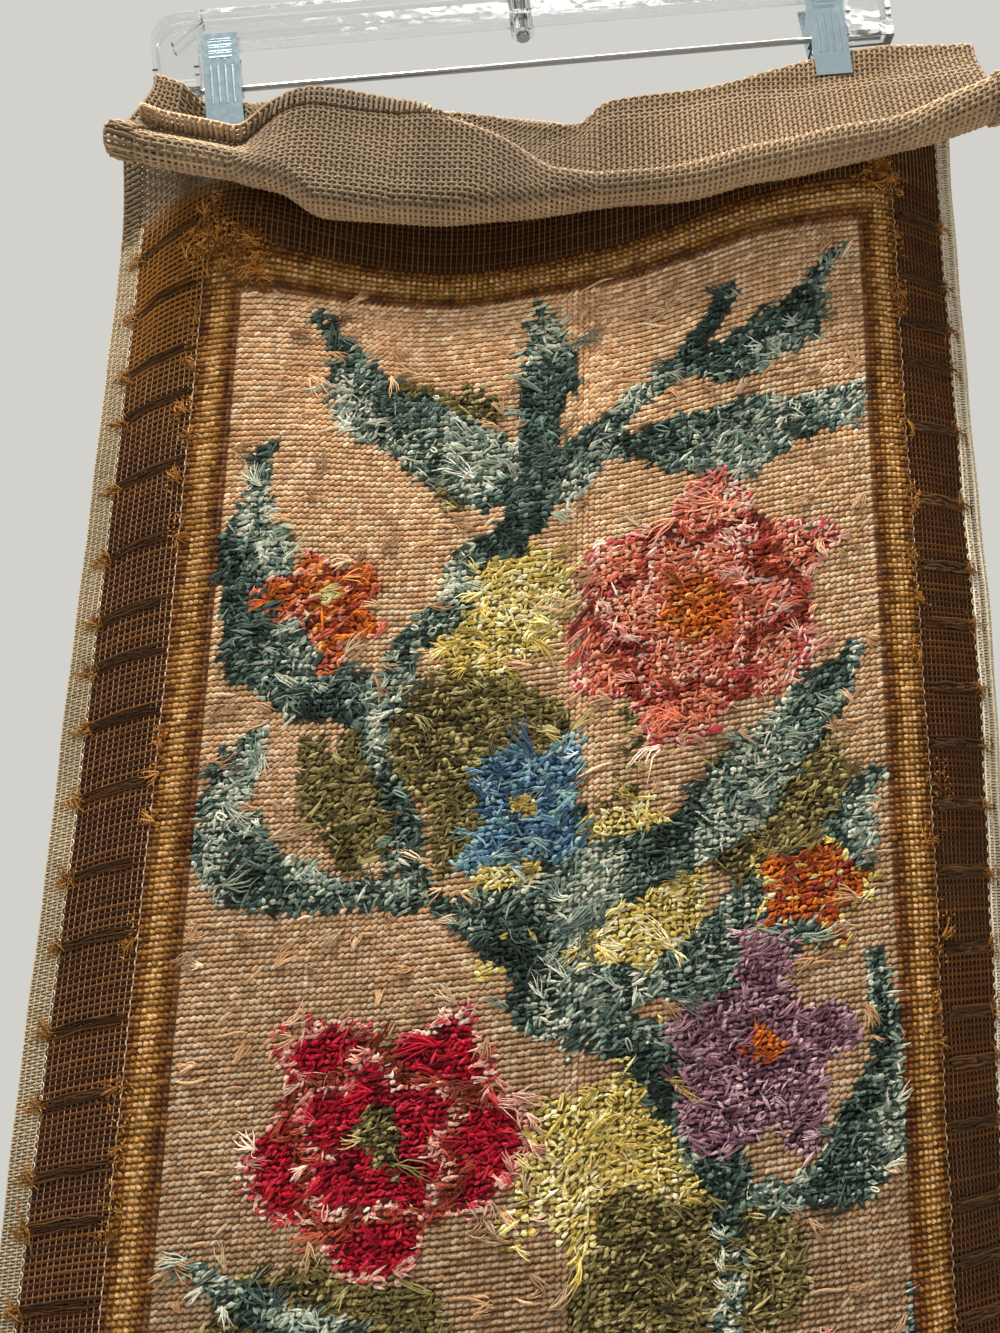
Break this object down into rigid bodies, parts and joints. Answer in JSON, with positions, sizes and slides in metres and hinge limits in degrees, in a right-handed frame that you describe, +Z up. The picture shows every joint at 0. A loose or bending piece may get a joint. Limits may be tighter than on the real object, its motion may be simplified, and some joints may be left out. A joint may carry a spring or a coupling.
{
  "type": "needlepoint wall hanging on a clip hanger",
  "caption": "Needlepoint canvas with a flower motif hung wrong side out from a clear clip hanger, its bare top folded over in front with the edge rolled, yarn ends loose.",
  "frame": {"origin": "the hook's seat: the top of the hook's inside, where a rail carries it", "axes": "+Z up, the shown side of the cloth faces -Y, +X to its viewer's right"},
  "size_m": [0.4186, 0.0957, 0.9651],
  "materials": {
    "needlepoint_canvas": "open tan canvas worked in wool: dark-brown border, ochre stripe, beige ground, coloured flowers and leaves",
    "hanger_bar": "clear moulded plastic with ribbed edges",
    "hanger_steel": "plain grey steel wire",
    "clip_steel": "pale blue-grey stamped metal, softly bright",
    "spring_steel": "dark spring wire"
  },
  "bodies": {
    "root": {"needlepoint_canvas": "needlepoint_canvas", "hanger_bar": "hanger_bar", "hanger_rod": "hanger_steel", "hanger_hook": "hanger_steel", "clip_left_front": "clip_steel", "clip_left_back": "clip_steel", "clip_left_spring": "spring_steel", "clip_right_front": "clip_steel", "clip_right_back": "clip_steel", "clip_right_spring": "spring_steel"}
  },
  "joints": []
}
